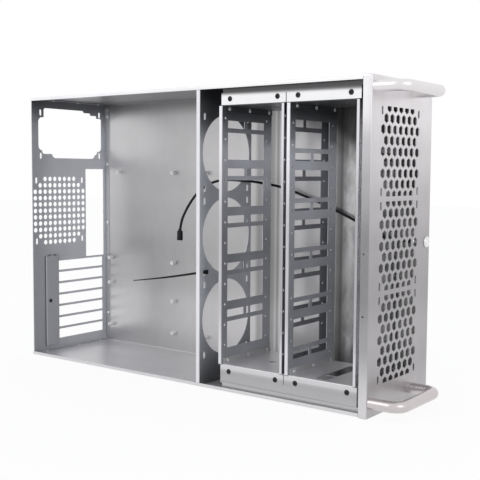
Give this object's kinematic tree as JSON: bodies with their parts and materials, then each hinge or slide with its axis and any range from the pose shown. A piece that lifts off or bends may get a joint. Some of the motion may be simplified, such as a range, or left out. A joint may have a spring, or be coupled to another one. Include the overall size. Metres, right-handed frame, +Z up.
{
  "type": "storage server chassis",
  "caption": "Rack server chassis with its cover off, standing on its long side: pierced fan wall and drive cages, hexagonal front grille, two bar handles and a push button.",
  "frame": {"origin": "middle of the footprint, at floor level, with the chassis standing on its long side", "axes": "+X from the rear panel to the front panel, +Y from the open side to the base plate, +Z up across the rack width; in a rack the part is turned a quarter turn about X, so that +Y points down"},
  "size_m": [0.7035, 0.1774, 0.443],
  "materials": {
    "tray_sheet": "brushed, satin",
    "front_sheet": "brushed, satin",
    "inner_sheet": "plain rolled sheet, satin",
    "bright_sheet": "plain rolled sheet, satin",
    "handle_metal": "smooth, satin",
    "rivet_metal": "plain",
    "bright_fastener": "plated, bright",
    "black_screw": "black oxide, semi-gloss",
    "switch_metal": "polished",
    "black_lead": "matte sleeve",
    "black_plastic": "moulded, matte"
  },
  "bodies": {
    "chassis": {"tray_base": "tray_sheet", "tray_lower_wall": "tray_sheet", "tray_upper_wall": "tray_sheet", "rear_panel": "inner_sheet", "slot_bracket": "inner_sheet", "slot_bracket_screw": "black_screw", "rear_rivets": "rivet_metal", "fan_wall": "inner_sheet", "fan_wall_rivets": "rivet_metal", "board_standoffs": "bright_fastener", "rail_lower": "bright_sheet", "rail_upper": "bright_sheet", "rail_rivets": "rivet_metal", "cage_a_left_plate": "inner_sheet", "cage_a_right_plate": "inner_sheet", "cage_b_left_plate": "inner_sheet", "cage_b_right_plate": "inner_sheet", "cage_a_lower_end": "bright_sheet", "cage_a_upper_end": "bright_sheet", "cage_b_lower_end": "bright_sheet", "cage_b_upper_end": "bright_sheet", "cage_rivets": "rivet_metal", "cage_screws": "black_screw", "front_panel": "front_sheet", "front_rivets": "rivet_metal", "handle_upper": "handle_metal", "handle_lower": "handle_metal", "handle_screws": "bright_fastener", "switch_barrel": "switch_metal", "switch_nut": "switch_metal", "switch_lead": "black_lead", "switch_lead_plug": "black_plastic", "cable_tie": "black_plastic"},
    "button": {"power_button": "switch_metal"}
  },
  "joints": [
    {"name": "button_press", "type": "slide", "parent": "chassis", "child": "button", "axis": [-1, 0, 0], "range_m": [0, 0.0012], "stiffness_N_per_m": 1500, "springref_m": -0.0008}
  ]
}
